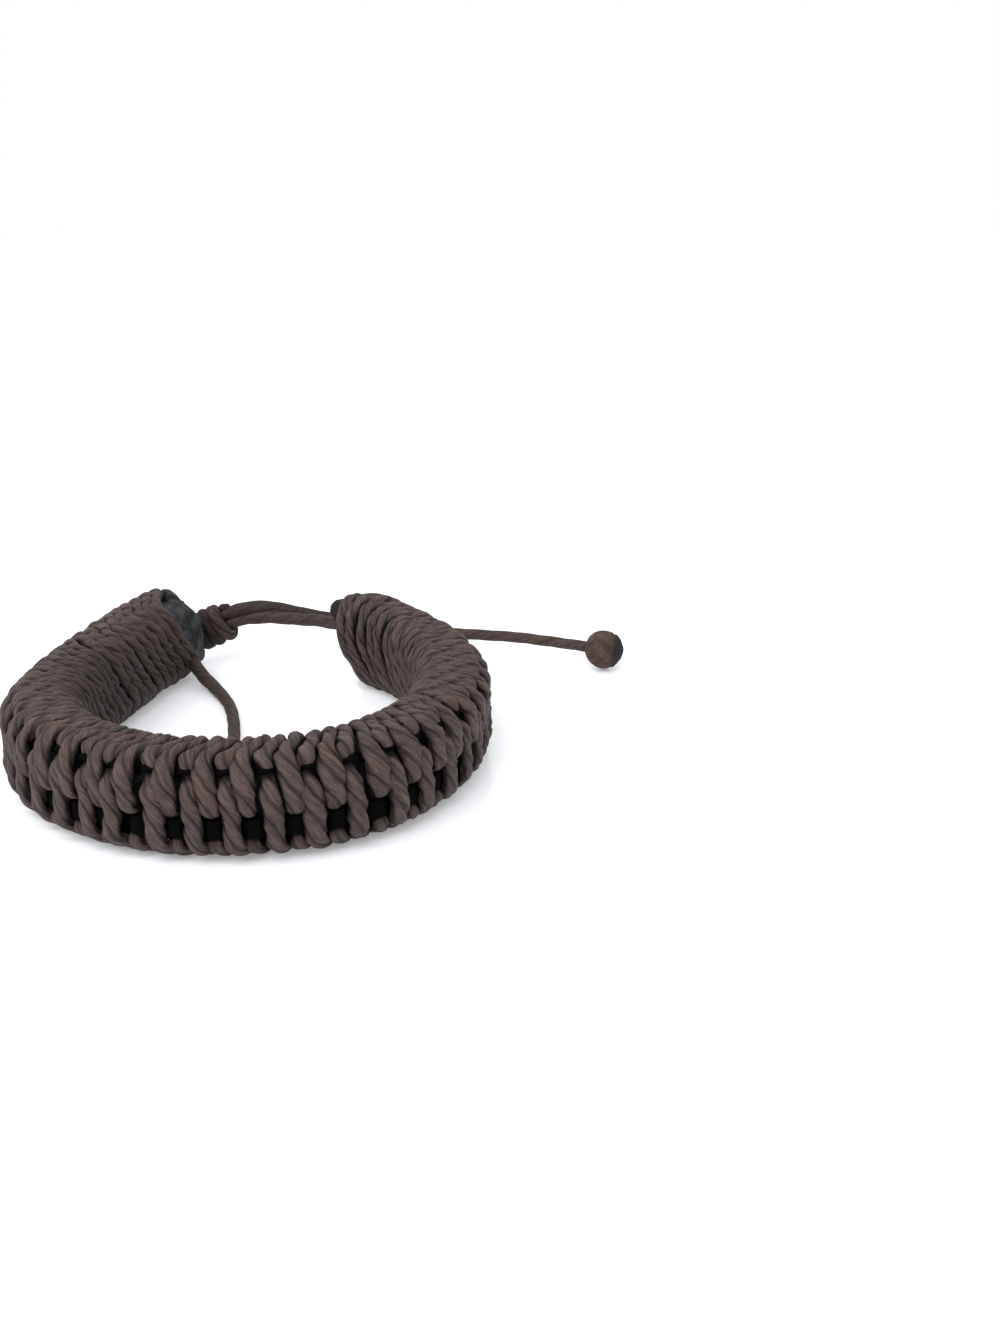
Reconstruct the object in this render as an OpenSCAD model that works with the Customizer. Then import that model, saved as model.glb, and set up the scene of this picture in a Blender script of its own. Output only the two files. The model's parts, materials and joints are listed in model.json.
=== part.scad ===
// Braided cord bracelet: a waxed cord wound over and under two laces round a black core,
// closed by two cords in a sliding knot. It stands on its edge at z = 0, its gap at the back.

/* [Band] */
// Height of the band where it stands
band_h = 15.2; // [15:0.1:16.5]
// Thickness of the band between its inner and outer faces
band_t = 12; // [11.8:0.1:12.4]
// Turns of the winding cord along the band
turns = 73; // [69:1:73]
// How much further apart the turns nearest the left end lie, as a share
widen_left = 0.3; // [0.2:0.05:0.35]
// How much further apart the turns nearest the right end lie, as a share
widen_right = 0.15; // [0:0.05:0.2]
// Turns left plain, with nothing ducking under a lace, at each end of the band
plain_turns = 7; // [4:1:12]
// Lean of the inner strands along the front, in turns
skew = 1.2; // [1:0.1:1.3]
// Lean of the inner strands at the left end, in turns
skew_left = 2; // [1.8:0.1:2.2]
// Lean of the inner strands at the right end, in turns
skew_right = 1.2; // [1:0.1:1.5]

/* [Cord] */
// Diameter of the winding cord
cord_d = 1.9; // [1.6:0.1:2]
// Width of the winding cord where it is pressed flat on the outer face
cord_flat = 2.5; // [2:0.1:2.6]
// Diameter of the closing cords
tie_d = 2.1; // [1.8:0.1:2.1]
// Gap between pieces that lie on each other
gap = 0.1; // [0.08:0.01:0.15]

/* [Laces] */
// Height of the lower lace above the middle of the band
lower_lace_z = -2.6; // [-2.7:0.1:-2.4]
// Width of the lower lace
lower_lace_w = 2.2; // [1.4:0.1:2.2]
// Width of the upper lace, which runs along the band's upper outer edge
upper_lace_w = 1.5; // [1.2:0.1:1.5]
// Thickness of a lace
lace_t = 0.7; // [0.5:0.1:0.7]

/* [Core] */
// Bare core that shows past the winding at the left end
bare_left = 4.2; // [3:0.1:5]
// Bare core that shows past the winding at the right end
bare_right = 2.9; // [2:0.1:3.2]

/* [Closure] */
// Turns of the sliding knot
knot_turns = 3; // [2:1:4]
// Diameter of the cord in the sliding knot
knot_cord_d = 1.6; // [1.5:0.1:1.8]
// Diameter of the ball knots on the tails
ball_d = 7.4; // [6.5:0.1:7.4]

/* [Hidden] */

brown = [0.33, 0.27, 0.25];
black = [0.08, 0.08, 0.09];

// Middle line of the band seen from above, from the left end round the front to the right: x, y
MIDDLE = [
    [-12.2, 42.5], [-19.0, 30.5], [-24.6, 16.5], [-29.3, 2.5], [-31.0, -11.5], [-25.4, -25.7], [-13.6, -36.1],
    [1.0, -39.5], [15.0, -35.7], [25.6, -23.9], [30.6, -9.9], [31.0, 4.7], [27.0, 19.1], [17.3, 33.1]
];
span_steps = 24;
mid_z = band_h / 2;
// How much taller the upper half stands at distances from either end of the band
RISE_LEFT = [[0, 0.12], [8, 0.10], [30, 0.04], [50, 0]];
RISE_RIGHT = [[0, 0.10], [5, 0.10], [12, 0], [25, -0.06], [45, -0.06], [70, 0]];

// Point on a smooth curve through the rows of a table, t of the way along span i
function row(rows, i) =
    i < 0 ? 2 * rows[0] - rows[1] :
    i > len(rows) - 1 ? 2 * rows[i - 1] - rows[i - 2] : rows[i];
function curve_point(rows, i, t) =
    let (a = row(rows, i - 1), b = row(rows, i), c = row(rows, i + 1), d = row(rows, i + 2))
    0.5 * (2 * b + (c - a) * t + (2 * a - 5 * b + 4 * c - d) * t * t + (3 * b - a - 3 * c + d) * t * t * t);
function curve(rows, steps) = concat(
    [for (i = [0 : len(rows) - 2]) for (j = [0 : steps - 1]) curve_point(rows, i, j / steps)],
    [rows[len(rows) - 1]]);

// Distance along a line to each of its points
function step_to(line, i) = i < len(line) ? norm(line[i] - line[i - 1]) : 0;
function distances(line) = [for (i = 0, s = 0; i < len(line); i = i + 1, s = s + step_to(line, i)) s];

line = curve(MIDDLE, span_steps);
along = distances(line);
length = along[len(along) - 1];
line_x = [for (i = [0 : len(line) - 1]) [along[i], line[i].x]];
line_y = [for (i = [0 : len(line) - 1]) [along[i], line[i].y]];

function unit(v) = v / norm(v);
// The band's middle line, its direction and its outward side at distance s from the left end
function middle(s) =
    let (t = min(max(s, 0), length))
    [lookup(t, line_x), lookup(t, line_y), 0] + (s - t) * direction_at_end(s);
function direction_at_end(s) =
    let (i = s < length / 2 ? 1 : len(line) - 1)
    unit(concat(line[i] - line[i - 1], 0));
function direction(s) = unit(middle(s + 1) - middle(s - 1));
function outward(s) = let (d = direction(s)) [d.y, -d.x, 0];
// Place in the band: s along it, w outward from its middle, z above the middle of its height
function rise(s) = lookup(s, RISE_LEFT) + lookup(length - s, RISE_RIGHT);
function place(s, w, z) = middle(s) + w * outward(s) + [0, 0, mid_z + z + max(z, 0) * rise(s)];

// A solid skinned over rings of points, closed by its first and last rings
module skin(rings) {
    sides = len(rings[0]);
    points = [for (ring = rings) each ring];
    walls = [for (i = [0 : len(rings) - 2]) for (j = [0 : sides - 1])
        let (a = i * sides + j, b = i * sides + (j + 1) % sides)
        each [[a, b, b + sides], [a, b + sides, a + sides]]];
    first = [[for (j = [sides - 1 : -1 : 0]) j]];
    last = [[for (j = [0 : sides - 1]) (len(rings) - 1) * sides + j]];
    polyhedron(points, concat(first, walls, last), convexity = 20);
}

// Core

core_half_h = band_h / 2 - cord_d - gap;
core_in = cord_d + gap - band_t / 2;
core_out = 1.95;
// Corners of the core's section: the plain ones, and the outer upper one cut back for the lace
core_corner = 1.6;
core_cut = core_out + core_half_h - 5.85;
// The core's tips flare past the winding, all round at the left end and only above at the right one
function flare(e, bare) = lookup(e, [[0, 0.7], [0.5, 1], [bare - 0.7, 1], [bare - 0.3, 0], [bare, 0]]);
function tip_cut(e) = lookup(e, [[0, 0.35], [0.5, 0]]);
// The right tip is cut aslant below this height, so that only its upper part shows past the winding
slant_right = 9;
slant_top = core_half_h - 1.8;
// The left tip's upper part is cut back by this much
slant_left = 1.5;
function core_ring(s) =
    let (
        left = s < length / 2,
        e = left ? s : length - s,
        cut = tip_cut(e),
        above = flare(e, left ? bare_left : bare_right),
        below = left ? above : 0,
        top = core_half_h + 1.3 * above - cut,
        foot = -core_half_h - 0.8 * below + cut,
        in = core_in + cut,
        out = core_out - cut,
        out_top = out + 1.6 * above,
        out_foot = out + 1.6 * below,
        c = core_corner,
        lace_cut = core_cut - 0.6 * above,
        inner_cut = c + (left ? 3.9 : -0.8) * above,
        foot_cut = c - 0.9 * below,
        slant = lookup(length - s, [[0, slant_right], [25, 0]]),
        back = left ? lookup(s, [[0, slant_left], [3.4, 0]]) : 0
    )
    [for (p = [
        [out_foot, foot + c], [out_top, top - lace_cut], [out_top - lace_cut, top], [in + inner_cut, top],
        [in, top - inner_cut], [in, foot + foot_cut], [in + foot_cut, foot], [out_foot - c, foot]])
        let (low = max(0, slant_top - p.y) / (slant_top + core_half_h), high = max(0, p.y) / core_half_h)
        place(s - slant * low + back * high, p.x, p.y)];

module core() {
    stops = concat(
        [0, 0.5, bare_left - 0.7, bare_left - 0.3],
        [for (i = [1 : 56]) bare_left + (length - bare_left - bare_right) * i / 57],
        [length - bare_right + 0.3, length - bare_right + 0.7, length - 0.5, length]);
    color(black) skin([for (s = stops) core_ring(s)]);
}

// Winding cord

cord_out = band_t / 2 - cord_d / 2;
cord_up = band_h / 2 - cord_d / 2;
corner = 2.2;
face_top = cord_up - corner;
// The outer lower edge is rounder than the others, most of all at the front
LOW_EDGE = [[0, 2.4], [50, 3.0], [85, 3.5], [115, 3.2], [140, 2.2]];
function low_edge_w(s) = cord_out - lookup(s, LOW_EDGE);
// A strand under the lower lace, and the lace there and between: distance outward
duck_w = 3.15;
lace_lift = cord_d / 2 + lace_t / 2 + gap;
lace_over_w = duck_w + lace_lift;
lace_under_w = cord_out - lace_lift;
// The upper lace lies aslant on the band's upper outer edge, where strands duck by corner_duck
edge_w = cord_out - corner / 2;
edge_z = cord_up - corner / 2;
corner_duck = 1.5;
aslant = sqrt(0.5);

// The turns nearest each end, and those from arm_turn on, lie further apart than the others
wide_turns = 9;
arm_turn = 38;
widen_arm = 0.1;
function turns_along(k) =
    k + widen_left * min(k, wide_turns) + widen_arm * max(k - arm_turn, 0) +
    widen_right * max(k - turns + wide_turns + 1, 0);
// Distance between the other turns along the band, and where the first turn is
pitch = (length - bare_left - bare_right) /
    (turns_along(turns - 1) + 1 + 0.95 * skew_left + 0.95 * skew_right);
start = bare_left + (0.95 * skew_left + 0.5) * pitch;
// Where turn k's inner and outer runs are, and its distance from its nearer neighbour
function turn_at(k) = start + pitch * turns_along(k);
LEAD = [[0, 5], [15, 3.6], [45, 0]];
function outer_at(k) = turn_at(k) - lookup(turn_at(k), LEAD);
function apart(k) = min(turn_at(k) - turn_at(k - 1), turn_at(k + 1) - turn_at(k));
tilt_on_face = 0.7;
SKEW = [[0, skew_left], [15, skew_left], [60, skew], [140, skew], [length - 20, skew_right]];
function skew_at(s) = lookup(s, SKEW);
function face_lean(z) = tilt_on_face * (0.5 - z / (2 * face_top));

// Where turn k ducks: even turns under the lower lace, odd ones under the upper, and the plain ones nowhere
function is_plain(k) = k < plain_turns || k > turns - 1 - plain_turns;
function ducks_upper(k) = !is_plain(k) && k % 2 == 1;
function ducks_lower(k) = !is_plain(k) && k % 2 == 0;
// Places down the outer face, from the top: w, z and half the width of the strand there
thin = 0.8;
wide = cord_flat / 2;
plain_half = cord_d / 2;
UPPER_DUCK = [
    [edge_w - (corner_duck + 0.75) * aslant, edge_z - (corner_duck - 0.75) * aslant, thin],
    [edge_w - (corner_duck - 0.75) * aslant, edge_z - (corner_duck + 0.75) * aslant, thin],
    [cord_out, 2.1, wide],
    [cord_out, -face_top, wide]
];
LOWER_DUCK = [
    [cord_out, face_top, wide],
    [cord_out, lower_lace_z + 2.85, wide],
    [duck_w, lower_lace_z + 1.75, thin],
    [duck_w, lower_lace_z - 1.6, thin],
    [cord_out - 0.9, lower_lace_z - 2.5, plain_half]
];
// The last turns go round a rounder upper outer corner
function upper_corner(k) = k > turns - plain_turns ? 3.5 : corner;
function plain(k) = [[cord_out, cord_up - upper_corner(k), wide], [cord_out, -face_top, wide]];
function face(k) = ducks_upper(k) ? UPPER_DUCK : ducks_lower(k) ? LOWER_DUCK : plain(k);

// One turn, up the inner face, over the top, down the outer face and under the bottom: s, w, z, half width
// and distance from its neighbours
inner_half = 1.3;
function top_end(k) = cord_out - upper_corner(k) - (ducks_upper(k) ? 1.5 : 0);
function turn(k) =
    let (
        s = turn_at(k),
        outer = outer_at(k),
        next = turn_at(k + 1),
        lean = skew_at(s) * pitch,
        next_lean = skew_at(next) * pitch,
        rows = concat(
            [[s - 0.9 * lean, -cord_out, -face_top, inner_half],
             [s + 0.9 * lean, -cord_out, face_top, inner_half],
             [s + 0.95 * lean, corner - cord_out, cord_up, inner_half],
             [outer - 0.05 * pitch, top_end(k), cord_up, is_plain(k) ? wide : plain_half]],
            [for (p = face(k)) [outer + face_lean(p[1]) * pitch, p[0], p[1], p[2]]],
            [[outer + 0.75 * pitch, low_edge_w(s), -cord_up, plain_half],
             [next - 0.95 * next_lean, corner - cord_out, -cord_up, inner_half]])
    )
    [for (p = rows) concat(p, apart(k))];

// Ring of a strand at row i of a route: across the band's section and along the band
cord_sides = 6;
function across(from, to) = unit([to[1] - from[1], to[2] - from[2]]);
function strand_ring(route, i) =
    let (
        p = route[i],
        before = route[max(i - 1, 0)],
        after = route[min(i + 1, len(route) - 1)],
        ahead = i < len(route) - 1 ? across(p, after) : across(before, p),
        behind = i > 0 ? across(before, p) : ahead,
        way = unit(ahead + behind),
        mitre = 1 / max(0.9, norm(ahead + behind) / 2),
        room = norm(place(p[0] + p[4] / 2, p[1], 0) - place(p[0] - p[4] / 2, p[1], 0)),
        half = min(p[3], room / 2 - gap / 2)
    )
    [for (j = [0 : cord_sides - 1])
        let (a = 360 * j / cord_sides, out = mitre * cord_d / 2 * cos(a))
        place(p[0] + half * sin(a) * p[4] / room, p[1] - way[1] * out, p[2] + way[0] * out)];

module strand(route) {
    color(brown) skin([for (i = [0 : len(route) - 1]) strand_ring(route, i)]);
}

// The one cord is two pieces that meet end to end at the front: where the right one starts
half_turns = floor(turns / 2);
function last(rows) = rows[len(rows) - 1];
function joint() = let (a = last(turn(half_turns - 1)), b = turn(half_turns)[0]) a + 0.3 * (b - a);

module left_wrap_cord() {
    strand([for (k = [0 : half_turns - 1]) each turn(k)]);
}

module right_wrap_cord() {
    strand(concat([joint()], [for (k = [half_turns : turns - 1]) each turn(k)]));
}

// Laces

// Ring of a lace, flat on the face that it lies on: out and up give the way that it faces
function lace_ring(s, w, z, width, out, up) =
    [for (p = [[1, -1], [1, 1], [-1, 1], [-1, -1]])
        place(s,
            w + p.x * lace_t / 2 * out - p.y * width / 2 * up,
            z + p.x * lace_t / 2 * up + p.y * width / 2 * out)];
// A lace lies flat for this far on either side of each strand that it crosses
flat_over = 0.6;
flat_under = 0.8;

module upper_lace() {
    color(black) skin([for (k = [1 : turns - plain_turns]) for (side = [-1, 1])
        let (over = ducks_upper(k), depth = over ? corner_duck - lace_lift : lace_lift)
        lace_ring(outer_at(k) + side * (over ? flat_over : flat_under),
            edge_w - depth * aslant, edge_z - depth * aslant, upper_lace_w, aslant, aslant)]);
}

module lower_lace() {
    color(black) skin([for (k = [1 : turns - 2]) for (side = [-1, 1])
        let (over = ducks_lower(k))
        lace_ring(outer_at(k) + face_lean(lower_lace_z) * pitch + side * (over ? flat_over : flat_under),
            over ? lace_over_w : lace_under_w, lower_lace_z, lower_lace_w, 1, 0)]);
}

// Closing cords and tails

// Tube of a round cord along a line of points
tube_sides = 8;
function tube_ring(line, i, r, sides) =
    let (
        before = line[max(i - 1, 0)],
        after = line[min(i + 1, len(line) - 1)],
        way = unit(after - before),
        side = unit(cross(way, [0, 0, 1])),
        up = cross(side, way)
    )
    [for (j = [0 : sides - 1]) let (a = 360 * (j + 0.5) / sides) line[i] + r * (cos(a) * side + sin(a) * up)];
module tube(line, d, sides) {
    skin([for (i = [0 : len(line) - 1]) tube_ring(line, i, d / 2, sides)]);
}

// Axis of the sliding knot, from the left end of the band towards the gap
KNOT_FROM = [-10.3, 45.0, 5.3];
KNOT_TO = [-3.8, 44.1, 8.1];
knot_way = unit(KNOT_TO - KNOT_FROM);
knot_side = unit(cross(knot_way, [0, 0, 1]));
knot_up = cross(knot_side, knot_way);
tie_offset = tie_d / 2 + gap;
upper_from = KNOT_FROM + tie_offset * knot_up;
upper_to = KNOT_TO + tie_offset * knot_up;
lower_from = KNOT_FROM - tie_offset * knot_up;
lower_to = KNOT_TO - tie_offset * knot_up;

// Lower cord, from the core's right end over the gap and through the knot to the core's left end
CLOSING_ROUTE = [
    [16.8, 31.7, 9.2], [15.6, 33.1, 9.3], [14.2, 34.4, 9.3], [12.3, 36.2, 9.3], [9.4, 38.2, 9.1],
    [6.5, 39.8, 8.9], [4.0, 41.0, 8.8], [1.2, 42.1, 8.5]
];
// Upper cord, through the knot, over the gap, past the back of the right end and out to its ball knot
RIGHT_TAIL_ROUTE = [
    [-0.6, 43.6, 10.7], [2.3, 42.9, 10.8], [5.2, 42.4, 10.3], [8.1, 41.5, 9.7], [11.0, 40.5, 9.2],
    [13.9, 39.6, 8.8], [17.0, 38.6, 8.3], [20.5, 37.5, 7.6], [24.5, 36.4, 7.1], [29.5, 35.2, 6.8],
    [34.5, 34.2, 6.4], [39.5, 33.4, 6.1], [44.5, 32.8, 5.7], [49.0, 32.2, 5.3], [53.0, 31.4, 4.8],
    [57.0, 30.1, 4.4], [60.9, 28.3, 4.1]
];
// Cord end that leaves the winding at the foot of the left end, runs down to the surface and along it
LEFT_TAIL_ROUTE = [
    [-10.2, 32.2, 3.4], [-9.9, 30.4, 2.8], [-9.1, 28.3, 2.1], [-8.2, 26.2, 1.7], [-7.2, 24.0, 1.4],
    [-6.4, 21.8, 1.2], [-5.6, 19.4, 1.1], [-4.5, 14.2, 1.05], [-4.0, 9.0, 1.05], [-3.8, 4.0, 1.05],
    [-3.8, -1.0, 1.05], [-3.8, -6.0, 1.05], [-3.8, -9.6, 1.3], [-3.8, -12.0, 2.1], [-3.8, -13.8, 2.7],
    [-3.8, -15.3, 3.0]
];

module closing_cord() {
    through_knot = [lower_to + 1.2 * knot_way, lower_from - 0.3 * knot_way];
    color(brown) tube(concat(CLOSING_ROUTE, through_knot), tie_d, tube_sides);
}

module right_tail() {
    through_knot = [upper_from - 0.3 * knot_way, upper_to + 1.2 * knot_way];
    color(brown) tube(concat(through_knot, RIGHT_TAIL_ROUTE), tie_d, tube_sides);
}

module left_tail() {
    color(brown) tube(LEFT_TAIL_ROUTE, tie_d, tube_sides);
}

// Sliding knot

knot_pitch = 2.05;
knot_turn_half = (knot_pitch - gap) / 2;
knot_clear = 3 * gap;
knot_half_w = tie_d / 2 + knot_clear + knot_cord_d / 2;
knot_half_h = tie_offset + tie_d / 2 + knot_clear + knot_cord_d / 2;
knot_steps = 14;
module sliding_knot() {
    rings = [for (i = [0 : knot_turns * knot_steps])
        let (
            a = 90 - 360 * i / knot_steps,
            centre = (KNOT_FROM + KNOT_TO) / 2 + knot_way * knot_pitch * (i / knot_steps - knot_turns / 2),
            out = unit(cos(a) / knot_half_w * knot_side + sin(a) / knot_half_h * knot_up),
            at = centre + knot_half_w * cos(a) * knot_side + knot_half_h * sin(a) * knot_up
        )
        [for (j = [0 : 5])
            at + knot_cord_d / 2 * cos(60 * j) * out + knot_turn_half * sin(60 * j) * knot_way]];
    color(brown) skin(rings);
}

// Ball knot on the end of a tail, its axis along the cord

ball_neck = 0.3;
module ball_knot(cord_end, way) {
    r = ball_d / 2;
    centre = cord_end + way * (sqrt(r * r - tie_d * tie_d / 4) + ball_neck);
    turn = [0, acos(way.z), atan2(way.y, way.x)];
    translate(centre) rotate(turn) rotate_extrude($fn = 48)
        intersection() {
            circle(r, $fn = 48);
            translate([0, -r]) square([r, 1.93 * r]);
        }
}

function way_out(rows) = unit(last(rows) - rows[len(rows) - 2]);
module right_ball_knot() {
    color(brown) ball_knot(last(RIGHT_TAIL_ROUTE), way_out(RIGHT_TAIL_ROUTE));
}

module left_ball_knot() {
    color(brown) ball_knot(last(LEFT_TAIL_ROUTE), way_out(LEFT_TAIL_ROUTE));
}

core();
left_wrap_cord();
right_wrap_cord();
upper_lace();
lower_lace();
sliding_knot();
closing_cord();
right_tail();
left_tail();
right_ball_knot();
left_ball_knot();
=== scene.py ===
"""Dresses the bracelet's frame: twisted waxed cord wound over and under two laces round a core."""

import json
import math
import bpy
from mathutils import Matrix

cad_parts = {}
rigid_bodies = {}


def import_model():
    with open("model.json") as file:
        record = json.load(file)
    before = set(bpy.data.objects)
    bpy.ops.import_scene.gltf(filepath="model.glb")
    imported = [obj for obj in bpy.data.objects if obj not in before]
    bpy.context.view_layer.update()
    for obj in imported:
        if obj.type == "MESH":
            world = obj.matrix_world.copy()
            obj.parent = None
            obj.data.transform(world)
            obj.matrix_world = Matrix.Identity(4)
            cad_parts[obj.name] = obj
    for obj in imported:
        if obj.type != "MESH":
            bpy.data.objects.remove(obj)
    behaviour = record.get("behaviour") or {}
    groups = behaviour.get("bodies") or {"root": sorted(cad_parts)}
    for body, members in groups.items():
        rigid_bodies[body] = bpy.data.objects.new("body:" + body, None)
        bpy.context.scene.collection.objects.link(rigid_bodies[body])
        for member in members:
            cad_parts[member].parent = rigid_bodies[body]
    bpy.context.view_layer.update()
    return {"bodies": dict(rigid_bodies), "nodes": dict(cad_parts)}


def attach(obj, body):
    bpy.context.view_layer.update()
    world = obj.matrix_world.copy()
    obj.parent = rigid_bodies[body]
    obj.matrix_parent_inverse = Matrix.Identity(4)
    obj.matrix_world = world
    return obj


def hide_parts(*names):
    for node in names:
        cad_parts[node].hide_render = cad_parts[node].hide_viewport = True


bl_info = {
    "name": "Braided Cord Bracelet",
    "version": (1, 0, 0),
    "blender": (4, 5, 0),
    "location": "View3D > Sidebar > Bracelet",
    "description": "Winds, laces and finishes a cord bracelet on its frame",
    "category": "Object",
}

import bpy
import numpy as np
from bpy.props import FloatProperty, FloatVectorProperty, IntProperty, PointerProperty
from bpy.types import Operator, Panel, PropertyGroup
from mathutils import Matrix, Vector

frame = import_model()
BODY = list(frame["bodies"])[0]

# Lengths in the tables below are in millimetres, as in the part's source
MM = 0.001

# The band: its middle line from above, from the left end round the front to the right
MIDDLE = [
    (-12.2, 42.5), (-19.0, 30.5), (-24.6, 16.5), (-29.3, 2.5), (-31.0, -11.5), (-25.4, -25.7), (-13.6, -36.1),
    (1.0, -39.5), (15.0, -35.7), (25.6, -23.9), (30.6, -9.9), (31.0, 4.7), (27.0, 19.1), (17.3, 33.1),
]
SPAN_STEPS = 24
BAND_H = 15.2
BAND_T = 12.0

# How much taller the band's upper half is, as a share, by the distance from each end, and how high above
# the floor the winding may reach
RISE_LEFT = [(0, 0.09), (4, 0.11), (9, 0.13), (16, 0.11), (30, 0.05), (50, 0)]
RISE_RIGHT = [(0, 0.10), (3, 0.14), (8, 0.135), (14, 0.01), (25, -0.06), (45, -0.06), (70, 0)]
HIGHEST = 16.4

# The winding: turns nearest the ends, and those from ARM_TURN on, lie further apart by these shares
TURNS = 73
PLAIN_TURNS = 7
WIDE_TURNS, WIDEN_LEFT, WIDEN_RIGHT = 9, 0.3, 0.15
ARM_TURN, WIDEN_ARM = 38, 0.1
BARE_LEFT, BARE_RIGHT = 4.2, 2.9
CORD_D = 1.9

# A turn's way round the band: how far outward and up its middle line is, how much higher its curve may
# swing, the size of its corners, and how far it bulges on a plain face
CORD_OUT = BAND_T / 2 - CORD_D / 2
CORD_UP = BAND_H / 2 - CORD_D / 2
OVERSHOOT = 0.12
CORNER, END_CORNER = 2.2, 3.0
FACE_TOP = CORD_UP - CORNER
BULGE = 0.15

# How far a strand moves along the band between the middle of the inner face and the corners, in turns' room,
# by place along the band, and the shares of it at the ends of the face and past the corners
SKEW_LEFT, SKEW_RIGHT = 2.0, 1.2
SKEW = [(15, SKEW_LEFT), (60, SKEW_RIGHT)]
FACE_SHARE, CORNER_SHARE = 0.9, 0.95

# How much nearer the left end a turn is on the outer face, by place along the band, and how far along a
# strand is before that face, down it by height, and at the foot past it, in turns' room
LEAD = [(0, 5.0), (15, 3.6), (45, 0.0)]
EDGE_BACK = 0.05
FACE_LEAN = [(-FACE_TOP, 0.3), (-1.0, 0.26), (FACE_TOP, 0.0)]
FOOT_LEAN = 0.75

# How far inside the outer face the foot is, by place along the band
LOW_EDGE = [(0, 2.4), (50, 3.0), (85, 3.5), (115, 3.2), (140, 2.2)]

# A strand's width as a share of its room: over the top by turn, on the inner face by the distance from the
# right end, and at the foot; and how much wider a stray of 1 mm makes it
TOP_WIDTH = [(4, 1.3), (9, 1.0)]
INNER_WIDTH = [(32, 0.82), (50, 1.0)]
FOOT_WIDTH = 1.16
STRAY_WIDTH = 0.3

# How far the inner face's strands bend towards the right end, as a share of their skew, by the distance from
# it, and where the last turn ends: along in turns' room, outward, and its width
INNER_BEND = [(15, 0.75), (35, 0.0)]
LAST_FOOT = (0.5, -1.8, 0.95)

# Where the right winding begins, as a share of the way from the left one's last place to its own first turn
JOINT = 0.3

# The cord's plies: how many, how full, how unevenly they swell as a share of its radius, and how far apart
# the swellings are
PLIES = 3
PLY_POWER = 0.7
PLY_LUMPS = 0.1
PLY_LUMP_STEP = 0.9

# The seeds of the swellings and of the turns' strays, and the strays of a turn that has none
LUMPS_SEED, WANDER_SEED = 11, 7
STILL = (0.0, 0.0, 0.0, 0.0)

# Painted shade on the winding: between its plies and, by place along the band, on its inner face. A pair says
# where the painted shade at a strand's sides, or on a strand that ducks under a lace, begins and how much
# further on it is full
PLY_SHADE = 0.9
INNER_PAINTED_SHADE = [(0, 0.4), (15, 0.45), (40, 0.52), (60, 0.45), (75, 0.0)]
SIDE_SHADE = (0.76, 0.22)
DUCK_SHADE = (0.45, 0.8)

# Steps along the winding, the closure's cords and the laces, and faces round the last two
WINDING_STEP, TIE_STEP, LACE_STEP = 0.42, 0.35, 0.3
TIE_SIDES, LACE_SIDES = 24, 16

# The core: how far it is moved past a place near its right tip, how much lower its top is there, by the
# distance past the band's right end, and how worn its left and right halves are
RIGHT_TIP, RIGHT_TIP_FROM = 0.7, -2.0
RIGHT_TIP_DROP = [(-4.0, 0.0), (-1.0, 0.8)]
LEFT_WORN, RIGHT_WORN = 1.0, 0.1

# The laces, the upper one aslant on the top edge, and how far the winding ducks under that one and how far
# outward it still is under the lower one
EDGE_W = CORD_OUT - CORNER / 2
EDGE_Z = CORD_UP - CORNER / 2
ASLANT = math.sqrt(0.5)
LACE_T = 0.7
LACE_POWER = 0.6
LOWER_LACE_Z = -2.6
LOWER_LACE_W = 2.8
UPPER_LACE_W = 1.3
CORNER_DUCK = 1.5
DUCK_W = 3.15

# Places of a strand down the outer face, from the top: outward, up, and its width as a share of its room.
# The first ducks under the upper lace, the second under the lower one and the third nowhere
UPPER_DUCK = [
    (3.35, 5.85, 0.9), (2.95, 4.75, 0.75), (3.95, 3.65, 0.85), (5.0, 2.7, 1.0),
    (5.1, 1.2, 1.05), (5.15, -1.0, 1.08), (CORD_OUT, -FACE_TOP, 1.04),
]
LOWER_DUCK = [
    (CORD_OUT, FACE_TOP, 1.28), (CORD_OUT + 0.1, 3.0, 1.24), (CORD_OUT + 0.1, 1.5, 1.12),
    (CORD_OUT, 0.35, 0.98), (DUCK_W, -0.85, 0.75), (DUCK_W, -4.2, 0.75), (CORD_OUT - 0.9, -5.1, 0.9),
]
NO_DUCK = [(CORD_OUT, FACE_TOP, 1.0), (CORD_OUT + BULGE, 0.0, 1.02), (CORD_OUT, -FACE_TOP, 1.0)]

# How far a lace is from the middle of the cord that it passes, outward over it or inward under it, and how
# far it stays flat there to each side
LACE_GAP = 0.1
LACE_LIFT = CORD_D / 2 + LACE_T / 2 + LACE_GAP
LACE_OVER_W = DUCK_W + LACE_LIFT
LACE_UNDER_W = CORD_OUT - LACE_LIFT
FLAT_OVER, FLAT_UNDER = 0.6, 0.8

# The closure's cords, drawn thin inside the knot and plump over the gap: the shares of a groove's depth and
# of its painted shade that they have, their radii and how much darker they are painted by place across, and
# the left tail's radius from front to back
TIE_D = 2.1
TIE_GROOVE, TIE_PLY_SHADE = 0.5, 0.7
UPPER_TIE_RADIUS = [
    (-5.4, 0.92), (-3.4, 1.3), (-1.5, 1.42), (3.0, 1.42), (7.0, 1.2), (15.0, 1.15), (24.0, 1.05),
]
LOWER_TIE_RADIUS = [(-5.4, 0.92), (-3.4, 1.15), (0.0, 1.25), (15.0, 1.2)]
LEFT_TIE_RADIUS = [(18.0, 1.05), (27.0, 1.2)]
UPPER_DARKENING = [(-6.0, 0.5), (-2.0, 0.72), (12.0, 0.68), (18.0, 0.45), (26.0, 0.3)]
LOWER_DARKENING, LEFT_DARKENING = 0.45, 0.52
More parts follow.
